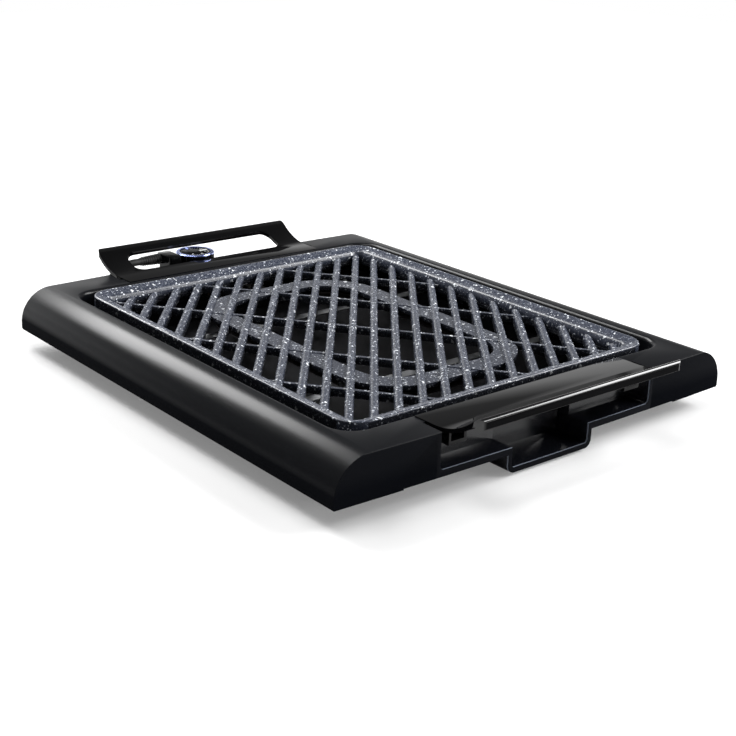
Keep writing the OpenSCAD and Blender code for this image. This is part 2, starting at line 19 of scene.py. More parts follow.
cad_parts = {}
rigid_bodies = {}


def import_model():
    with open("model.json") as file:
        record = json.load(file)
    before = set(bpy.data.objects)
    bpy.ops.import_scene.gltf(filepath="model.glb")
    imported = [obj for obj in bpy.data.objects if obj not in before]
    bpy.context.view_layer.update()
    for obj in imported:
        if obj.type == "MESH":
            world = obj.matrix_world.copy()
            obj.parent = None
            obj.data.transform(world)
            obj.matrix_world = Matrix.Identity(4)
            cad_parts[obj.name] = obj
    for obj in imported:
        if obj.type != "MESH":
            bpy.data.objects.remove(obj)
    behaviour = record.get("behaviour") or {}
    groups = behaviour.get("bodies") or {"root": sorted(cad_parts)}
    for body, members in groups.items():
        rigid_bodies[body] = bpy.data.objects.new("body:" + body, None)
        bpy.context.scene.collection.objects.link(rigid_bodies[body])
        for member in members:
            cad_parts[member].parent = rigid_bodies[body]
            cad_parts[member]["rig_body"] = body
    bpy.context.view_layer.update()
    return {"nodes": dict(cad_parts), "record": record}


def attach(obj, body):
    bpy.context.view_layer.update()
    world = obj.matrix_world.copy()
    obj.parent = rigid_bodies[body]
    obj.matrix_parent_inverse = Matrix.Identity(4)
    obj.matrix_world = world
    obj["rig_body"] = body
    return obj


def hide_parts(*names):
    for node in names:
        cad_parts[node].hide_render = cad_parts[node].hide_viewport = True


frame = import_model()
nodes = frame["nodes"]
MM = 0.001

# %% [markdown]
# ## The camera
#
# The photograph was taken from a low, near corner with a mild telephoto lens.
# Three values place a camera: where it stands, what it looks at, and its roll.
# A fourth, the focal length in pixels, sets its lens. All four were fitted
# to the housing's edges, so the render can be laid beside the photograph.

# %% Camera at the photograph's angle
PICTURE = 736
FOCAL_PIXELS = 1346.6
CAMERA_AT = Vector((857.77, -697.81, 408.80)) * MM
CAMERA_AIM = Vector((103.83, -72.35, 52.0)) * MM
CAMERA_ROLL = math.radians(1.71)


def camera_matrix(place, aim, roll):
    """World matrix of a camera that looks from place to aim, turned by roll about its own axis."""
    forward = (aim - place).normalized()
    level = forward.cross(Vector((0, 0, 1))).normalized()
    upright = level.cross(forward)
    right = level * math.cos(roll) + upright * math.sin(roll)
    up = upright * math.cos(roll) - level * math.sin(roll)
    turned = Matrix((right, up, -forward)).transposed().to_4x4()
    return Matrix.Translation(place) @ turned


camera_data = bpy.data.cameras.new("camera")
camera_data.sensor_width = 36.0
camera_data.lens = FOCAL_PIXELS * camera_data.sensor_width / PICTURE
camera_data.clip_end = 20
camera = bpy.data.objects.new("camera", camera_data)
camera.matrix_world = camera_matrix(CAMERA_AT, CAMERA_AIM, CAMERA_ROLL)
bpy.context.scene.collection.objects.link(camera)
bpy.context.scene.camera = camera
print("lens", round(camera_data.lens, 1), "mm")

# %% [markdown]
# ## Shader maths as Python
#
# Procedural materials are long chains of nodes, which are hard to read when wired one by one.
# This small class wraps one socket and gives it Python's operators,
# so a speckle mask can be written as an expression and the Math nodes appear by themselves.


# %% A socket with operators, and a material that builds nodes
class Sock:
    """One output socket of a material, with Python's operators."""

    def __init__(self, paint, socket):
        self.paint = paint
        self.socket = socket

    def math(self, operation, *others):
        values = {i + 1: other for i, other in enumerate(others)}
        return self.paint.node("ShaderNodeMath", {"operation": operation}, {0: self, **values})

    def __add__(self, other):
        return self.math("ADD", other)

    def __radd__(self, other):
        return self.math("ADD", other)

    def __sub__(self, other):
        return self.math("SUBTRACT", other)

    def __rsub__(self, other):
        return self.paint.node("ShaderNodeMath", {"operation": "SUBTRACT"}, {0: other, 1: self})

    def __mul__(self, other):
        return self.math("MULTIPLY", other)

    def __rmul__(self, other):
        return self.math("MULTIPLY", other)

    def __gt__(self, other):
        return self.math("GREATER_THAN", other)

    def __lt__(self, other):
        return self.math("LESS_THAN", other)


class Paint:
    """A material, or a world, built from expressions: node() adds a node, returns its output."""

    def __init__(self, name, holder=None):
        self.material = holder or bpy.data.materials.new(name)
        self.material.use_nodes = True
        self.tree = self.material.node_tree
        self.tree.nodes.clear()

    def node(self, kind, settings, values, output=0):
        """Adds a node, sets it up, gives each named socket a value or a link."""
        made = self.tree.nodes.new(kind)
        for key, value in settings.items():
            setattr(made, key, value)
        for key, value in values.items():
            socket = made.inputs[key]
            if isinstance(value, Sock):
                self.tree.links.new(value.socket, socket)
            elif hasattr(socket.default_value, "__len__") and len(socket.default_value) == 4:
                socket.default_value = (*value, 1) if len(value) == 3 else value
            else:
                socket.default_value = value
        return Sock(self, made.outputs[output])

    def place(self, scale=(1, 1, 1), turn=(0, 0, 0)):
        """Object coordinates in metres, scaled and turned."""
        here = self.node("ShaderNodeTexCoord", {}, {}, "Object")
        return self.node("ShaderNodeMapping", {},
                         {"Vector": here, "Scale": scale, "Rotation": turn})

    def axes(self):
        """The object's own X, Y and Z in metres, as three sockets."""
        here = self.place()
        return [self.node("ShaderNodeSeparateXYZ", {}, {"Vector": here}, axis) for axis in "XYZ"]

    def noise(self, size, detail, squeeze=(1, 1, 1)):
        """Soft noise from 0 to 1, whose blobs are about size metres across, or thinner."""
        scale = [factor / size for factor in squeeze]
        return self.node("ShaderNodeTexNoise", {},
                         {"Vector": self.place(scale), "Scale": 1.0, "Detail": detail,
                          "Roughness": 0.5})

    def fleck(self, size, share, seed):
        """1 on scattered flecks about size metres across, on that share of the cells.

        A cell is two flecks wide, and its random colour says how large its fleck is (red)
        and whether it has one (green). Noise bends the cells, so that no fleck is round.
        """
        settings = {"feature": "F1", "distance": "EUCLIDEAN"}
        cells = self.place([0.5 / size] * 3, (seed, 0.4 * seed, 0.7 * seed))
        bend = self.node("ShaderNodeTexNoise", {},
                         {"Vector": cells, "Scale": 2.2, "Detail": 1.0}, "Color")
        bent = self.node("ShaderNodeVectorMath", {"operation": "ADD"}, {0: cells, 1: bend})
        near, pick = [self.node("ShaderNodeTexVoronoi", settings, {"Vector": bent, "Scale": 1.0},
                                output) for output in ("Distance", "Color")]
        largest, lot = [self.node("ShaderNodeSeparateColor", {}, {"Color": pick}, channel)
                        for channel in ("Red", "Green")]
        return (near < largest * 0.38) * (lot < share)

    def mix(self, amount, first, second):
        """A colour between first and second."""
        return self.node("ShaderNodeMix", {"data_type": "RGBA"},
                         {0: amount, 6: first, 7: second}, 2)

    def between(self, value, low, high, to_low, to_high):
        """Maps low..high to to_low..to_high, and holds the ends."""
        return self.node("ShaderNodeMapRange", {},
                         {"Value": value, "From Min": low, "From Max": high,
                          "To Min": to_low, "To Max": to_high})

    def bump(self, height, depth, strength):
        """A normal as of a surface that rises by depth metres where height is 1."""
        values = {"Height": height, "Distance": depth, "Strength": strength}
        return self.node("ShaderNodeBump", {}, values)

    def seen(self):
        """1 for rays that come straight from the camera, also through clear things."""
        camera_ray, clear_ray = [self.node("ShaderNodeLightPath", {}, {}, f"Is {kind} Ray")
                                 for kind in ("Camera", "Transmission")]
        return camera_ray.math("MAXIMUM", clear_ray)

    def surface(self, **sockets):
        """Ends the material in a Principled BSDF with these sockets, written with _ for spaces."""
        values = {key.replace("_", " "): value for key, value in sockets.items()}
        return self.finish(self.node("ShaderNodeBsdfPrincipled", {}, values))

    def finish(self, shader, kind="ShaderNodeOutputMaterial"):
        """Ends the tree in this shader, and returns what holds the tree."""
        output = self.tree.nodes.new(kind)
        self.tree.links.new(shader.socket, output.inputs["Surface"])
        return self.material


print("shader helpers ready")

# %% [markdown]
# ## The finishes
#
# A plastic moulding is never one flat colour. It has a fine mould texture, slow changes in tone
# and a trace of dust, all far too small or faint to paint by hand.
# Each finish below is a few expressions on Object coordinates in metres,
# so its grain has a real size and stays put when a part moves.


# %% Measures of the CAD model that the plastics use
def reach(node_name, axis):
    """How far a CAD node reaches from the middle along an axis, 0 for X to 2 for Z, in metres."""
    return max(abs(v.co[axis]) for v in nodes[node_name].data.vertices)


# Both ends are bowed: an arc from CORNER_X at the corners to END_X in the middle.
CORNER_X, END_X = 230 * MM, reach("cup_near", 0)
HALF_Y, DECK_Z = reach("housing_shell", 1), reach("housing_shell", 2)
BOW_R = (HALF_Y ** 2 + (END_X - CORNER_X) ** 2) / (2 * (END_X - CORNER_X))
# A handle's outermost face starts at LIP_X. Its thick lip is inside that, then comes its scoop.
LIP_X = reach("handle_near", 0) - 1.2 * MM
LIP_WIDE, SCOOP_WIDE = 6 * MM, 34 * MM


# %% Plastics and rubber
def satin_plastic(name, colour, rough, grain, sheen, on_shell=False, wall_top=None,
                  painted_highlight_colour=None):
    """Black moulded plastic with a fine spark-eroded texture under a thin sheen.

    On the shell, the bowed ends have a tenth of the sheen, and the long side walls lose it
    below wall_top. The edge colour, where given, is a painted highlight: a paler colour on the
    edges next to the bowed ends.
    """
    paint = Paint(name)
    cloud = paint.noise(0.09, 3)
    texture = paint.noise(grain, 2)
    base = paint.mix(cloud * 0.5, colour, [c * 1.35 for c in colour])
    shine = sheen
    if on_shell:
        along, aside, up = paint.axes()
        bowed = along.math("ABSOLUTE") + aside * aside * (0.5 / BOW_R)
        on_end = (bowed > END_X - 0.25 * MM) * (up < DECK_Z - 0.7 * MM)
        shine = paint.between(on_end, 0, 1, sheen, 0.1 * sheen)
        if wall_top:
            shine = shine * paint.between(up, wall_top - 12 * MM, wall_top, 0.05, 1)
        if painted_highlight_colour:
            # Painted highlight: the edges just behind the bowed end faces, below the deck, take the
            # paler colour.
            highlight_band = (bowed > END_X - 1.5 * MM) * (bowed < END_X - 0.15 * MM)
            base = paint.mix(highlight_band * (up < DECK_Z - 10 * MM), base, painted_highlight_colour)
    return paint.surface(
        Base_Color=base,
        Roughness=0.6,
        Normal=paint.bump(texture, 0.02 * MM, 0.35),
        Specular_IOR_Level=0.0,
        Coat_Weight=shine,
        Coat_Roughness=rough,
    )


def gloss_plastic(name, colour):
    """Polished black plastic with a faint orange-peel wave and a little dust.

    The lip mirrors most, the flat tongue less and the scoop between them least,
    as if hands had rubbed it dull. The outermost face is left as moulded.
    """
    paint = Paint(name)
    wave = paint.noise(0.012, 1)
    dust = paint.noise(0.0009, 3)
    along = paint.axes()[0].math("ABSOLUTE")
    scoop, lip = LIP_X - LIP_WIDE - SCOOP_WIDE, LIP_X - LIP_WIDE
    coat = paint.between(along, scoop - 4 * MM, scoop + 6 * MM, 0.65, 0.3)
    coat = coat + paint.between(along, lip, lip + 1 * MM, 0, 0.65)
    coat = coat * paint.between(along, LIP_X, LIP_X + 1 * MM, 1, 0.05)
    return paint.surface(
        Base_Color=paint.mix(dust * 0.05, colour, (0.04, 0.04, 0.045)),
        Roughness=paint.between(dust, 0.45, 0.8, 0.4, 0.5),
        Normal=paint.bump(wave, 0.05 * MM, 0.2),
        Specular_IOR_Level=0.0,
        Coat_Weight=coat,
        Coat_Roughness=paint.between(along, lip, lip + 2 * MM, 0.06, 0.12),
        Coat_IOR=1.6,
    )


def rubber(name, colour):
    """Matt rubber or soft PVC with a fine grain and rubbed, paler patches."""
    paint = Paint(name)
    grain = paint.noise(0.0006, 3)
    worn = paint.noise(0.02, 4)
    base = paint.mix(paint.between(worn, 0.45, 0.75, 0, 0.5), colour, [c * 2 for c in colour])
    return paint.surface(
        Base_Color=base,
        Roughness=grain * 0.15 + 0.55,
        Normal=paint.bump(grain, 0.05 * MM, 0.4),
    )


housing_finish = satin_plastic("housing_satin", (0.0035, 0.0039, 0.0052), 0.28, 0.0005, 0.55,
                               on_shell=True, wall_top=38 * MM)
# The cups carry a pale bluish painted highlight on the edges of their ends.
cup_finish = satin_plastic("cup_satin", (0.0035, 0.0039, 0.0055), 0.18, 0.0005, 0.9,
                           on_shell=True, painted_highlight_colour=(0.16, 0.18, 0.22))
pan_finish = satin_plastic("pan_matt", (0.006, 0.006, 0.007), 0.5, 0.0008, 0.1)
gloss_finish = gloss_plastic("gloss_black", (0.0015, 0.0015, 0.0017))
rubber_finish = rubber("rubber_black", (0.009, 0.009, 0.009))
print("plastics made")

# %% [markdown]
# ## Granite-look non-stick
#
# The grill plate is cast aluminium under a dark blue-grey coating with mineral flecks.
# Flecks come in three sizes: dust-fine grey, small pale and a few large white ones.
# Each size is a Voronoi pattern: a point counts as fleck when it is near a cell's seed,
# and a second test on the cell's random colour keeps only a share of the cells.
# The two larger sizes also lift the surface slightly, because real flecks stand in the coating.
# Deep between the bars, and on the rim's outer wall, the colour is darkened nearly to black as
# painted shade.


# %% Granite coating
def granite(name, ground, bar_top, rim_top, rim_x, rim_y):
    """Speckled coating of the plate, whose bars and rim reach this far, in metres."""
    paint = Paint(name)
    fine = paint.fleck(0.0007, 0.5, 0.3)
    small = paint.fleck(0.0012, 0.5, 1.1)
    large = paint.fleck(0.0021, 0.22, 2.3)
    cloud = paint.noise(0.03, 3)
    mottle = paint.noise(0.002, 3)
    base = paint.mix(cloud * 0.6 + mottle * 0.3, ground, [c * 2.1 for c in ground])
    base = paint.mix(fine * 0.75, base, (0.5, 0.54, 0.62))
    base = paint.mix(small * 0.95, base, (0.86, 0.9, 0.97))
    base = paint.mix(large, base, (0.92, 0.95, 0.98))
    along, aside, up = paint.axes()
    outer = ((along.math("ABSOLUTE") > rim_x - 0.4 * MM)
             + (aside.math("ABSOLUTE") > rim_y - 0.4 * MM))
    # Painted shade: the rim's outer wall, and everything below the bars' tops, turn nearly black.
    rim_wall_shade = outer.math("MINIMUM", 1) * (up < rim_top - 1.5 * MM)
    shade_below_bars = paint.between(up, bar_top - 6 * MM, bar_top - 1.8 * MM, 0.8, 0)
    base = paint.mix(shade_below_bars.math("MAXIMUM", rim_wall_shade * 0.82), base, (0.003, 0.003, 0.0035))
    lift = small * 0.5 + large + mottle * 0.25
    return paint.surface(
        Base_Color=base,
        Roughness=paint.between(mottle, 0.3, 0.7, 0.22, 0.34),
        Normal=paint.bump(lift, 0.12 * MM, 0.6),
        Specular_IOR_Level=0.5,
    )


granite_finish = granite("granite_nonstick", (0.026, 0.03, 0.043),
                         bar_top=reach("plate_grid", 2), rim_top=reach("plate_rim", 2),
                         rim_x=reach("plate_rim", 0), rim_y=reach("plate_rim", 1))
print("granite made")

# %% [markdown]
# ## Metals, ceramic and small parts
#
# Metals take their look from roughness more than from colour:
# zinc plating is cloudy, a heater sheath is dark and stained by heat, brass is plain.


# %% Metals and small parts
def metal(name, colour, rough, stain=None, squeeze=(1, 1, 1)):
    """Bare or plated metal with cloudy patches of stain. A squeezed grain makes brush lines."""
    paint = Paint(name)
    brushed = paint.noise(0.0015, 3, squeeze)
    cloud = paint.noise(0.015, 4)
    base = paint.mix(paint.between(cloud, 0.35, 0.7, 0, 0.8), colour,
                     stain or [c * 0.72 for c in colour])
    return paint.surface(
        Base_Color=base,
        Metallic=1.0,
        Roughness=brushed * 0.16 + (rough - 0.08),
        Normal=paint.bump(brushed, 0.03 * MM, 0.3),
    )


def ceramic(name):
    """Unglazed ceramic, matt, with fine darker pores."""
    paint = Paint(name)
    pores = paint.noise(0.0006, 3)
    return paint.surface(
        Base_Color=paint.mix(pores * 0.5, (0.72, 0.68, 0.6), (0.5, 0.46, 0.4)),
        Roughness=pores * 0.2 + 0.5,
        Normal=paint.bump(pores, 0.06 * MM, 0.4),
    )


def print_ink(name, colour):
    """Matt ink with a faint grain, as a printed scale has."""
    paint = Paint(name)
    grain = paint.noise(0.0004, 2)
    return paint.surface(
        Base_Color=paint.mix(grain * 0.4, colour, [c * 0.75 for c in colour]),
        Roughness=grain * 0.15 + 0.4,
    )


FINISHES = {
    "housing_plastic": housing_finish,
    "pan_plastic": pan_finish,
    "gloss_black": gloss_finish,
    "rubber_black": rubber_finish,
    "granite_nonstick": granite_finish,
    "zinc_steel": metal("zinc_steel", (0.62, 0.63, 0.65), 0.34),
    "block_phenolic": satin_plastic("block_phenolic", (0.05, 0.035, 0.025), 0.45, 0.001, 0.3),
    "contact_brass": metal("contact_brass", (0.72, 0.52, 0.24), 0.28),
    "tray_steel": metal("tray_steel", (0.05, 0.05, 0.055), 0.42, squeeze=(1, 12, 1)),
    "heater_sheath": metal("heater_sheath", (0.09, 0.085, 0.08), 0.42,
                           stain=(0.05, 0.035, 0.03)),
    "ceramic": ceramic("ceramic"),
    "dial_chrome": metal("dial_chrome", (0.5, 0.58, 0.95), 0.22, stain=(0.28, 0.36, 0.85)),
    "mark_white": print_ink("mark_white", (0.8, 0.8, 0.8)),
}
print(len(FINISHES), "finishes made")

# %% [markdown]
# ## Dressing the CAD nodes
#
# Dressing changes no shape: each CAD node keeps its mesh and gets a material.
# The record says which slot each node takes its finish from, so one loop dresses them all.


# %% Each CAD node takes the finish of its slot
def wear(piece, material):
    """Gives a piece one material, in every slot that it has."""
    if not piece.data.materials:
        piece.data.materials.append(material)
    for i in range(len(piece.data.materials)):
        piece.data.materials[i] = material


SLOT_OF = {part["node"]: part["material_slot"] for part in frame["record"]["subparts"]}
for name, node in nodes.items():
    wear(node, FINISHES[SLOT_OF[name]])
print("dressed", len(nodes), "nodes")

# %% [markdown]
# ## Rounded edges
#
# CAD edges are razor sharp, and a razor-sharp edge never catches light.
# A real moulding has radii of half a millimetre or so, which the photograph shows as thin lines.
# A CAD mesh is loose triangles, so a copy is welded first, its flat faces are joined,
# and then a Bevel modifier rounds only the edges that turn by more than an angle.


# %% Helpers for finished pieces
# Edges that turn more than SHARP get a round, and those under SMOOTH are shaded smooth.
# Faces within FLAT of each other are one face, and corners within WELD are one corner.
SHARP, SMOOTH, FLAT = math.radians(28), math.radians(35), math.radians(0.4)
WELD = 0.002 * MM


def new_object(name, data=None):
    """An object at the origin of the scene, with an empty mesh where no data is given."""
    piece = bpy.data.objects.new(name, data or bpy.data.meshes.new(name))
    bpy.context.scene.collection.objects.link(piece)
    return piece


def settle(piece):
    """Applies a piece's modifiers, so that only a plain mesh is left."""
    bpy.context.view_layer.update()
    graph = bpy.context.evaluated_depsgraph_get()
    mesh = bpy.data.meshes.new_from_object(piece.evaluated_get(graph))
    piece.modifiers.clear()
    old = piece.data
    piece.data = mesh
    bpy.data.meshes.remove(old)
    piece.data.shade_smooth()
    piece.data.set_sharp_from_angle(angle=SMOOTH)
    return piece


def join_body(piece, body, slot_name):
    """Ties a finished piece to its body and its material slot."""
    wear(piece, FINISHES[slot_name])
    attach(piece, body)
    return piece


# %% A welded copy of a CAD node with rounded edges
def rounded(node_name, width):
    """Stands a copy of a CAD node in its place, with edges that turn more than SHARP rounded."""
    mesh = bpy.data.meshes.new("work")
    shape = bmesh.new()
    shape.from_mesh(nodes[node_name].data)
    bmesh.ops.remove_doubles(shape, verts=shape.verts, dist=WELD)
    bmesh.ops.dissolve_limit(shape, angle_limit=FLAT, use_dissolve_boundaries=False,
                             verts=shape.verts, edges=shape.edges)
    shape.to_mesh(mesh)
    shape.free()
    piece = new_object(node_name + "_finished", mesh)
    bevel = piece.modifiers.new("round", "BEVEL")
    bevel.width = width
    bevel.segments = 3
    bevel.limit_method = "ANGLE"
    bevel.angle_limit = SHARP
    bevel.use_clamp_overlap = True
    settle(piece)
    join_body(piece, nodes[node_name]["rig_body"], SLOT_OF[node_name])
    wear(piece, SPECIAL.get(node_name, FINISHES[SLOT_OF[node_name]]))
    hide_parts(node_name)
    print(node_name, "rounded by", round(width / MM, 2), "mm:",
          len(piece.data.polygons), "faces")
    return piece


# %% Round the edges that catch light
# Finishes of pieces that look unlike the rest of their slot, and edge radii in millimetres.
SPECIAL = {"cup_near": cup_finish, "cup_far": cup_finish, "case_upper": gloss_finish}
ROUNDING = {"housing_shell": 0.8, "cup_near": 1.2, "cup_far": 1.2, "plate_rim": 0.5,
            "handle_near": 0.9, "handle_far": 0.9, "base_pan": 0.8, "case_lower": 0.8,
            "case_upper": 1.0, "dial_knob": 0.5, "dial_ring": 0.4, "plug_body": 1.2,
            "terminal_block": 0.5, "element_rest_a": 0.3, "element_rest_b": 0.3,
            "cord_tie": 0.4}
for name, width in ROUNDING.items():
    rounded(name, width * MM)

# %% [markdown]
# ## The mains lead
#
# The lead is 7 mm PVC cable that leaves the controller's gland, falls to the table behind the grill
# and ends in a small wound coil under a tie. The route's points are listed one by one.
# A Catmull-Rom spline through them gives the smooth line that a stiff cable takes,
# and the coil's turns come from a formula: two turns side by side and half a turn on top.

# %% Centreline of the lead: route, coil and tail
CORD_R = 3.5
ROUTE = [(-258, -64, 51.4), (-258, -68, 51.4), (-258, -72, 51.4), (-258.5, -79, 50.4),
         (-259, -86, 47.5), (-259.5, -92, 42.9), (-260, -96.5, 37), (-260.5, -99.5, 30.5),
         (-261, -101.5, 23.5), (-261.5, -104.6, 17.2), (-262.2, -109.1, 11.8),
         (-263.3, -114.8, 7.7), (-264.7, -121.3, 5.1), (-266.4, -129.6, 3.8),
         (-268.3, -140.5, 3.6), (-273.8, -150, 3.6), (-282.3, -157.1, 3.6),
         (-292.7, -160.9, 3.6), (-303.7, -160.9, 3.6), (-314.1, -157.1, 3.6),
         (-322.6, -150, 3.6), (-328.1, -140.5, 3.6), (-329.9, -129.6, 3.6), (-329.9, -100, 3.8),
         (-329.9, -70, 4.3), (-329.9, -42, 4.5), (-329.9, -26, 4.5), (-330, -18, 4.5),
         (-330, -14, 4.5)]
# Radii of the coil's outer turn, its inner turn and the half turn on top, which lies TOP_UP higher.
COIL_MIDDLE = (-286, -10, 4.5)
COIL_OUT, COIL_IN, COIL_TOP, TOP_UP = 44, 36.2, 40.03, 7.97
# How many turns are wound when the cable goes inwards, starts to climb, and lies on top.
INWARDS_AT, CLIMB_AT, TOP_AT, WINDINGS = 0.75, 1.55, 1.9, 2.5
TAIL = [(-245.97, -20, 12.47), (-245.97, -30, 12.3), (-246.3, -38, 10.9), (-246.9, -44, 9.3),
        (-247, -49, 9), (-247, -56, 9)]


def ease(share):
    """From 0 to 1, with a slow start and a slow end."""
    return share * share * (3 - 2 * share)


def coil_point(turn):
    """Point of the coil after that many turns.

    The step inwards takes a quarter turn. In the climb the cable swings about the outer turn
    below it, by 63.5 degrees, and moves 1.1 mm away from it, so that the two stay clear.
    """
    radius, height = COIL_OUT, 0
    if turn >= TOP_AT:
        radius, height = COIL_TOP, TOP_UP
    elif turn >= CLIMB_AT:
        climb = ease((turn - CLIMB_AT) / (TOP_AT - CLIMB_AT))
        arm, lean = COIL_OUT - COIL_IN + 1.1 * climb, math.radians(63.5 * climb)
        radius, height = COIL_OUT - arm * math.cos(lean), arm * math.sin(lean)
    elif turn >= INWARDS_AT:
        radius = COIL_OUT - (COIL_OUT - COIL_IN) * ease(min(1, (turn - INWARDS_AT) * 4))
    angle = math.pi - 2 * math.pi * turn
    x, y, z = COIL_MIDDLE
    return (x + radius * math.cos(angle), y + radius * math.sin(angle), z + height)


def spline(points, steps):
    """Catmull-Rom points through a list, with steps points for each stretch."""
    line = []
    for i in range(len(points) - 1):
        a, b, c, d = [Vector(points[min(max(k, 0), len(points) - 1)]) for k in range(i - 1, i + 3)]
        for k in range(steps):
            t = k / steps
            line.append(0.5 * (2 * b + (c - a) * t + (2 * a - 5 * b + 4 * c - d) * t * t
                               + (3 * b - a - 3 * c + d) * t ** 3))
    return line + [Vector(points[-1])]


POINTS_A_TURN = 24
coil_points = [coil_point(i / POINTS_A_TURN) for i in range(round(WINDINGS * POINTS_A_TURN) + 1)]
lead_line = [point * MM for point in spline(ROUTE + coil_points + TAIL, steps=3)]
lead_length = sum((b - a).length for a, b in zip(lead_line, lead_line[1:]))
print("lead", round(lead_length, 3), "m")

# %% [markdown]
# A curve object with a bevel depth is the plainest way to make a cable:
# its own line stays the centreline, so its length can be checked, and the tube stays round.


# %% The lead as one curve
def tube(name, line, radius):
    """A round cable of that radius along a line of points, as a curve object."""
    curve = bpy.data.curves.new(name, "CURVE")
    curve.dimensions = "3D"
    curve.bevel_depth = radius
    curve.bevel_resolution = 5
    curve.use_fill_caps = True
    run = curve.splines.new("POLY")
    run.points.add(len(line) - 1)
    for point, place in zip(run.points, line):
        point.co = (*place, 1)
    return bpy.data.objects.new(name, curve)


lead = tube("lead", lead_line, CORD_R * MM)
bpy.context.scene.collection.objects.link(lead)
join_body(lead, "controller", "rubber_black")
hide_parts("cord", "cord_coil")

# %% [markdown]
# ## Repeated details with Geometry Nodes
#
# Grips, ticks, rings and swellings repeat. Each is described once and copied by a node tree:
# points say where, Instance on Points copies, Realize Instances makes one mesh of the copies.
# A tree's inputs have names, and a modifier finds them by their identifiers,
# so one tree serves both the gland and the plug, with other numbers.


# %% A Geometry Nodes tree with named inputs
class Recipe:
    def __init__(self, name, **inputs):
        self.tree = bpy.data.node_groups.new(name, "GeometryNodeTree")
        self.tree.is_modifier = True
        face = self.tree.interface
        kinds = {int: "NodeSocketInt", float: "NodeSocketFloat", tuple: "NodeSocketVector"}
        for label, value in inputs.items():
            made = face.new_socket(label, in_out="INPUT", socket_type=kinds[type(value)])
            made.default_value = value
        face.new_socket("Material", in_out="INPUT", socket_type="NodeSocketMaterial")
        face.new_socket("Geometry", in_out="OUTPUT", socket_type="NodeSocketGeometry")
        self.given = self.tree.nodes.new("NodeGroupInput")

    def given_as(self, label):
        """The socket inside the tree that carries an input's value."""
        return self.given.outputs[label]

    def node(self, kind, settings, values, output=0):
        made = self.tree.nodes.new(kind)
        for key, value in settings.items():
            setattr(made, key, value)
        for key, value in values.items():
            if isinstance(value, bpy.types.NodeSocket):
                self.tree.links.new(value, made.inputs[key])
            else:
                made.inputs[key].default_value = value
        return made.outputs[output]

    def math(self, operation, *values):
        return self.node("ShaderNodeMath", {"operation": operation}, dict(enumerate(values)))

    def vector(self, operation, *values):
        return self.node("ShaderNodeVectorMath", {"operation": operation}, dict(enumerate(values)))

    def finish(self, geometry):
        real = self.node("GeometryNodeRealizeInstances", {}, {"Geometry": geometry})
        painted = self.node("GeometryNodeSetMaterial", {},
                            {"Geometry": real, "Material": self.given_as("Material")})
        output = self.tree.nodes.new("NodeGroupOutput")
        self.tree.links.new(painted, output.inputs["Geometry"])
        return self


def grow(name, recipe, body, slot_name, shift=(0, 0, 0), **values):
    """A finished piece made by a recipe with these inputs, moved by shift in millimetres."""
    piece = new_object(name)
    modifier = piece.modifiers.new("recipe", "NODES")
    modifier.node_group = recipe.tree
    values["Material"] = FINISHES[slot_name]
    for item in recipe.tree.interface.items_tree:
        if item.in_out == "INPUT" and item.name in values:
            modifier[item.identifier] = values[item.name]
    settle(piece)
    piece.data.transform(Matrix.Translation(Vector(shift) * MM))
    join_body(piece, body, slot_name)
    print(name, len(piece.data.polygons), "faces")
    return piece


# %% [markdown]
# A heat dial has fine ribs around its side for the fingers, and a printed scale on its top.
# Both are small blocks that stand on an arc and point outwards, so one tree makes them:
# with many blocks on nearly a full turn for the grips, and fewer on three quarters for the scale.


# %% Blocks on an arc: dial grips and scale ticks
def blocks_on_arc():
    """Blocks of one size, spread evenly over an arc, each turned outwards."""
    recipe = Recipe("blocks_on_arc", Count=12, Radius=0.01, Start=0.0, Sweep=6.0,
                    Size=(0.001, 0.001, 0.001))
    arc = recipe.node("GeometryNodeCurveArc", {"mode": "RADIUS"},
                      {"Resolution": 64, "Radius": recipe.given_as("Radius"),
                       "Start Angle": recipe.given_as("Start"),
                       "Sweep Angle": recipe.given_as("Sweep")})
    points = recipe.node("GeometryNodeCurveToPoints", {"mode": "COUNT"},
                         {"Curve": arc, "Count": recipe.given_as("Count")})
    here = recipe.node("GeometryNodeInputPosition", {}, {})
    outward = recipe.node("FunctionNodeAlignRotationToVector", {"axis": "X", "pivot_axis": "Z"},
                          {"Vector": here})
    block = recipe.node("GeometryNodeMeshCube", {}, {"Size": recipe.given_as("Size")})
    copies = recipe.node("GeometryNodeInstanceOnPoints", {},
                         {"Points": points, "Instance": block, "Rotation": outward})
    return recipe.finish(copies)


arc_blocks = blocks_on_arc()


def centre_of(*node_names):
    """Middle of some CAD nodes in millimetres, and their low and high corners."""
    spots = [v.co for name in node_names for v in nodes[name].data.vertices]
    low = Vector([min(p[k] for p in spots) for k in range(3)]) / MM
    high = Vector([max(p[k] for p in spots) for k in range(3)]) / MM
    return (low + high) / 2, low, high


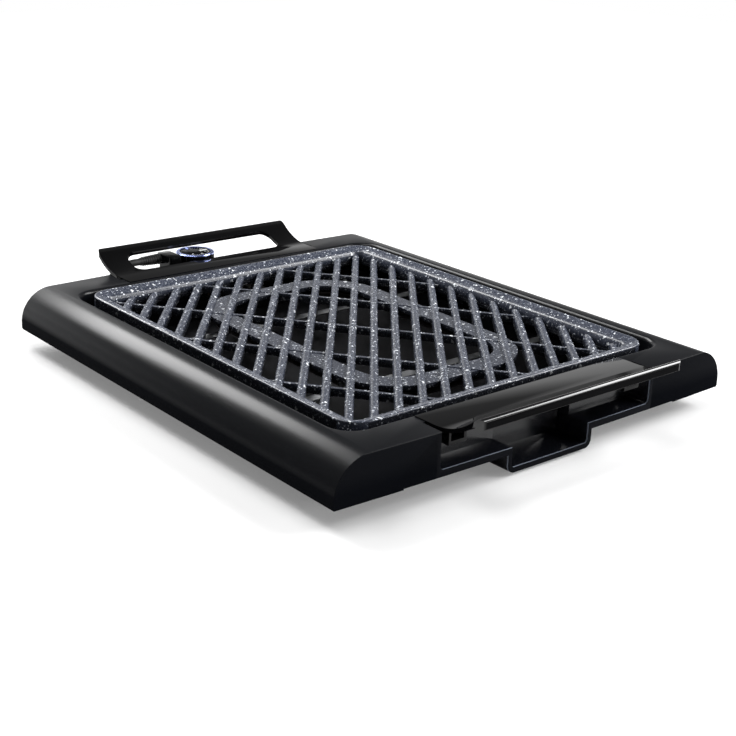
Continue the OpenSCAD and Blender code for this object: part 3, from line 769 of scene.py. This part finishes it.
# Radii of the grips, ticks and figures, and how thick the print lies on the knob.
dial_middle, dial_low, dial_high = centre_of("dial_knob")
DIAL_R = (dial_high.x - dial_low.x) / 2
GRIP_R, TICK_R, FIGURE_R = DIAL_R - 0.15, DIAL_R - 5.4, DIAL_R - 8.6
PRINT = 0.12
FIGURES = 6
grow("dial_grips", arc_blocks, "dial", "gloss_black",
     (dial_middle.x, dial_middle.y, dial_low.z + 4.0),
     Count=40, Radius=GRIP_R * MM, Start=0.0, Sweep=math.radians(351),
     Size=(0.9 * MM, 0.8 * MM, 6.4 * MM))
SCALE_START, SCALE_SWEEP = math.radians(-45), math.radians(270)
for label, count, length, width in (("long", FIGURES, 2.2, 0.5),
                                    ("short", 5 * (FIGURES - 1) + 1, 1.1, 0.3)):
    grow("dial_ticks_" + label, arc_blocks, "dial", "mark_white",
         (dial_middle.x, dial_middle.y, dial_high.z + PRINT / 2),
         Count=count, Radius=TICK_R * MM, Start=SCALE_START, Sweep=SCALE_SWEEP,
         Size=(length * MM, width * MM, PRINT * MM))

# %% [markdown]
# The scale's numerals are plain figures from 1 to 6, each between a long tick and the middle.
# A text object gives each its shape, and becomes a mesh before it is moved to its place.


# %% Numerals on the dial
def numeral(figure, angle, radius, size):
    """A raised figure on the dial, with its foot towards the middle. Lengths in millimetres."""
    text = bpy.data.curves.new("numeral", "FONT")
    text.body = str(figure)
    text.size = size * MM
    text.align_x, text.align_y = "CENTER", "CENTER"
    text.extrude = 0.05 * MM
    piece = new_object("dial_numeral_" + str(figure), text)
    bpy.context.view_layer.update()
    graph = bpy.context.evaluated_depsgraph_get()
    mesh = bpy.data.meshes.new_from_object(piece.evaluated_get(graph))
    bpy.data.objects.remove(piece)
    bpy.data.curves.remove(text)
    spot = Vector((dial_middle.x + radius * math.cos(angle),
                   dial_middle.y + radius * math.sin(angle), dial_high.z + PRINT / 2)) * MM
    mesh.transform(Matrix.Translation(spot) @ Matrix.Rotation(angle - math.pi / 2, 4, "Z"))
    return join_body(new_object("dial_numeral_" + str(figure), mesh), "dial", "mark_white")


for figure in range(1, FIGURES + 1):
    share = (FIGURES - figure) / (FIGURES - 1)
    numeral(figure, SCALE_START + SCALE_SWEEP * share, FIGURE_R, 3.2)
print("dial scale made")


# %% [markdown]
# The gland is a soft sleeve that keeps the lead from kinking, and its rings let it bend.
# The plug has rings too, for the grip of two fingers. Each ring is a rounded rectangle
# with a round section. The tree stands them in a row, which can taper as the gland does.


# %% Rings in a row: gland and plug grip
def rings_in_row():
    """Rings in a row along -Y, whose size changes evenly to Last times that of the first."""
    recipe = Recipe("rings_in_row", Count=6, Pitch=0.002, Width=0.01, Height=0.01, Corner=0.002,
                    Thick=0.0005, Last=1.0)
    outline = recipe.node("GeometryNodeCurvePrimitiveQuadrilateral", {"mode": "RECTANGLE"},
                          {"Width": recipe.given_as("Width"), "Height": recipe.given_as("Height")})
    soft = recipe.node("GeometryNodeFilletCurve", {"mode": "POLY"},
                       {"Curve": outline, "Radius": recipe.given_as("Corner"), "Count": 10})
    section = recipe.node("GeometryNodeCurvePrimitiveCircle", {},
                          {"Resolution": 8, "Radius": recipe.given_as("Thick")})
    ring = recipe.node("GeometryNodeCurveToMesh", {}, {"Curve": soft, "Profile Curve": section})
    step = recipe.node("ShaderNodeCombineXYZ", {},
                       {"Y": recipe.math("MULTIPLY", recipe.given_as("Pitch"), -1.0)})
    row = recipe.node("GeometryNodeMeshLine", {"mode": "OFFSET"},
                      {"Count": recipe.given_as("Count"), "Offset": step})
    index = recipe.node("GeometryNodeInputIndex", {}, {})
    share = recipe.math("DIVIDE", index, recipe.math("SUBTRACT", recipe.given_as("Count"), 1.0))
    less = recipe.math("MULTIPLY", share, recipe.math("SUBTRACT", recipe.given_as("Last"), 1.0))
    scale = recipe.math("ADD", less, 1.0)
    copies = recipe.node("GeometryNodeInstanceOnPoints", {},
                         {"Points": row, "Instance": ring, "Rotation": (math.pi / 2, 0, 0),
                          "Scale": scale})
    return recipe.finish(copies)


row_rings = rings_in_row()
gland_middle, gland_low, _ = centre_of("cord_gland")
grow("gland_rings", row_rings, "controller", "rubber_black",
     (gland_middle.x, gland_low.y + 19.5, gland_middle.z),
     Count=8, Pitch=2.4 * MM, Width=9.5 * MM, Height=9.5 * MM, Corner=4.7 * MM,
     Thick=0.6 * MM, Last=0.86)
plug_middle, _, plug_high = centre_of("plug_body")
grow("plug_ridges", row_rings, "controller", "rubber_black",
     (plug_middle.x, plug_high.y - 13, plug_middle.z),
     Count=6, Pitch=2.6 * MM, Width=25.6 * MM, Height=16.8 * MM, Corner=4.0 * MM,
     Thick=0.6 * MM, Last=1.0)


# %% [markdown]
# Where a thin rib runs into a thick bar, the casting swells into a small fillet on both sides.
# The bars are evenly spaced and so are the ribs, so their crossings form a slanted grid:
# a plain grid of whole numbers, multiplied by two step vectors, lands on every crossing.

# %% Swellings at the plate's crossings
# Directions and distances of the bars and ribs are those of the CAD model.
BAR_TURN, RIB_TURN = math.radians(140.72), math.radians(37.76)
BAR_PITCH, RIB_PITCH, BAR_SHIFT = 18.29, 74.6, 3.66
_, grid_low, grid_high = centre_of("plate_grid")


def crossing(bar, rib):
    """Where a bar and a rib cross, each given by its distance from the plate's middle."""
    across = math.sin(RIB_TURN - BAR_TURN)
    return Vector((rib * math.cos(BAR_TURN) - bar * math.cos(RIB_TURN),
                   rib * math.sin(BAR_TURN) - bar * math.sin(RIB_TURN), 0)) / -across


def swellings():
    """Flattened balls of size Half on the crossings that lie within Limit of the middle."""
    recipe = Recipe("swellings", Origin=(0.0, 0.0, 0.0), Bars=(1.0, 0.0, 0.0),
                    Ribs=(0.0, 1.0, 0.0), Limit=(1.0, 1.0, 1.0), Half=(1.0, 1.0, 1.0), Turn=0.0)
    grid = recipe.node("GeometryNodeMeshGrid", {},
                       {"Size X": 40.0, "Size Y": 8.0, "Vertices X": 41, "Vertices Y": 9})
    here = recipe.node("ShaderNodeSeparateXYZ", {},
                       {"Vector": recipe.node("GeometryNodeInputPosition", {}, {})})
    rows = recipe.vector("SCALE", recipe.given_as("Bars"))
    recipe.tree.links.new(here, rows.node.inputs["Scale"])
    columns = recipe.vector("SCALE", recipe.given_as("Ribs"))
    recipe.tree.links.new(here.node.outputs["Y"], columns.node.inputs["Scale"])
    spot = recipe.vector("ADD", recipe.vector("ADD", rows, columns), recipe.given_as("Origin"))
    placed = recipe.node("GeometryNodeSetPosition", {}, {"Geometry": grid, "Position": spot})
    far = recipe.vector("ABSOLUTE", recipe.node("GeometryNodeInputPosition", {}, {}))
    over = recipe.vector("SUBTRACT", far, recipe.given_as("Limit"))
    parts = recipe.node("ShaderNodeSeparateXYZ", {}, {"Vector": over})
    worst = recipe.math("MAXIMUM", parts, parts.node.outputs["Y"])
    outside = recipe.math("GREATER_THAN", worst, 0.0)
    kept = recipe.node("GeometryNodeDeleteGeometry", {"domain": "POINT"},
                       {"Geometry": placed, "Selection": outside})
    ball = recipe.node("GeometryNodeMeshUVSphere", {},
                       {"Segments": 16, "Rings": 10, "Radius": 1.0})
    turned = recipe.node("ShaderNodeCombineXYZ", {}, {"Z": recipe.given_as("Turn")})
    copies = recipe.node("GeometryNodeInstanceOnPoints", {},
                         {"Points": kept, "Instance": ball, "Rotation": turned,
                          "Scale": recipe.given_as("Half")})
    return recipe.finish(copies)


# Half the length, width and height of a swelling, and how far its middle is above the grid's
# lowest point. Crossings within BORDER of the grid's edge get none, because the rim is there.
SWELLING, SWELLING_UP, BORDER = Vector((7.4, 2.7, 4.4)), 3.4, 4
grow("crossing_swellings", swellings(), "plate", "granite_nonstick",
     (0, 0, grid_low.z + SWELLING_UP),
     Origin=tuple(crossing(BAR_SHIFT, 0) * MM),
     Bars=tuple(crossing(BAR_PITCH, 0) * MM), Ribs=tuple(crossing(0, RIB_PITCH) * MM),
     Limit=tuple(Vector((grid_high.x - BORDER, grid_high.y - BORDER, 0)) * MM),
     Half=tuple(SWELLING * MM), Turn=RIB_TURN)

# %% [markdown]
# ## Stage and light
#
# The photograph is a white-background product shot: the table and the background are one white,
# and a soft shadow lies under the grill. The floor is a pale diffuse surface with a faint mirror,
# and a glow that only the camera sees lifts it. The glow grows with distance to plain white,
# so the shadow near the grill stays.


# %% White floor that keeps its shadow
# Half the floor's width, and how far away its glow starts to grow and is full, in metres.
HALF_FLOOR = 3.0
GLOW_NEAR, GLOW_FAR = 0.6, 1.6


def white_floor(colour, lift, sheen):
    """Pale floor that glows for the camera: lift within GLOW_NEAR metres, 1 beyond GLOW_FAR."""
    paint = Paint("floor")
    diffuse = paint.node("ShaderNodeBsdfDiffuse", {}, {"Color": colour})
    mirror = paint.node("ShaderNodeBsdfGlossy", {}, {"Color": (1, 1, 1), "Roughness": 0.12})
    base = paint.node("ShaderNodeMixShader", {}, {0: sheen, 1: diffuse, 2: mirror})
    away = paint.node("ShaderNodeVectorMath", {"operation": "LENGTH"}, {0: paint.place()}, "Value")
    glow = paint.node("ShaderNodeEmission", {},
                      {"Color": (1, 1, 1),
                       "Strength": paint.between(away, GLOW_NEAR, GLOW_FAR, lift, 1)})
    both = paint.node("ShaderNodeAddShader", {}, {0: base, 1: glow})
    shown = paint.node("ShaderNodeMixShader", {}, {0: paint.seen(), 1: diffuse, 2: both})
    return paint.finish(shown)


floor_mesh = bpy.data.meshes.new("floor")
floor_mesh.from_pydata([(x * HALF_FLOOR, y * HALF_FLOOR, 0)
                        for x, y in ((-1, -1), (1, -1), (1, 1), (-1, 1))],
                       [], [(0, 1, 2, 3)])
floor = bpy.data.objects.new("floor", floor_mesh)
bpy.context.scene.collection.objects.link(floor)
floor_mesh.materials.append(white_floor(colour=(0.8, 0.8, 0.8), lift=0.2, sheen=0.1))


# %% [markdown]
# The key light stands behind the far end on the left. It draws the long highlight
# on the rounded side, because that side mirrors it towards the camera.
# The rim light behind on the right draws the white line on the near handle's lip,
# a large soft light hangs above, and a low one in front on the right lights the near end.


# %% Lamps
def lamp(name, toward, distance, width, height, power):
    """A soft rectangular light that faces the object. Lengths in metres, power in watts."""
    data = bpy.data.lights.new(name, "AREA")
    data.shape = "RECTANGLE"
    data.size, data.size_y = width, height
    data.energy = power
    light = bpy.data.objects.new(name, data)
    light.location = Vector(toward).normalized() * distance
    light.rotation_euler = (-light.location).to_track_quat("-Z", "Y").to_euler()
    bpy.context.scene.collection.objects.link(light)
    return light


key = lamp("key", (-0.765, -0.03, 0.645), 2.2, 1.0, 1.4, 52)
rim = lamp("rim", (0.36, 0.72, 0.6), 2.2, 1.6, 0.8, 56)
top = lamp("top", (-0.1, -0.25, 1.0), 2.4, 1.2, 1.2, 18)
side = lamp("side", (0.8, 0.6, 0.24), 2.4, 1.0, 0.45, 16)

# %% [markdown]
# Everything else that the black plastic mirrors is the room. It is brightest low behind the object,
# where the white backdrop stands, and dim towards the camera.
# The direction of a ray comes from the world's own coordinates: Z gives its height,
# and a dot product tells how far it points towards the backdrop.


# %% World: bright backdrop, dim room
def room(backdrop_way, backdrop, dim):
    """A world that the camera sees white. Other rays see it dim, with a low bright backdrop.

    The backdrop fades out from 10 to 21 degrees above the table, and from 18 to 60 degrees aside.
    """
    paint = Paint("world", bpy.data.worlds.new("world"))
    way = paint.node("ShaderNodeTexCoord", {}, {}, "Generated")
    height = paint.node("ShaderNodeSeparateXYZ", {}, {"Vector": way}, "Z")
    faces = paint.node("ShaderNodeVectorMath", {"operation": "DOT_PRODUCT"},
                       {0: way, 1: Vector(backdrop_way).normalized()}, "Value")
    low = paint.between(height, 0.18, 0.36, 1, 0)
    behind = paint.between(faces, 0.5, 0.95, 0, 1)
    strength = low * behind * backdrop + dim
    lit = paint.node("ShaderNodeBackground", {}, {"Color": (1, 1, 1), "Strength": strength})
    seen = paint.node("ShaderNodeBackground", {}, {"Color": (1, 1, 1), "Strength": 1.0})
    mixed = paint.node("ShaderNodeMixShader", {}, {0: paint.seen(), 1: lit, 2: seen})
    return paint.finish(mixed, "ShaderNodeOutputWorld")


bpy.context.scene.world = room(backdrop_way=(-0.95, 0.3, 0.1), backdrop=0.75, dim=0.18)

bpy.context.scene.view_settings.view_transform = "Standard"
print("stage ready")
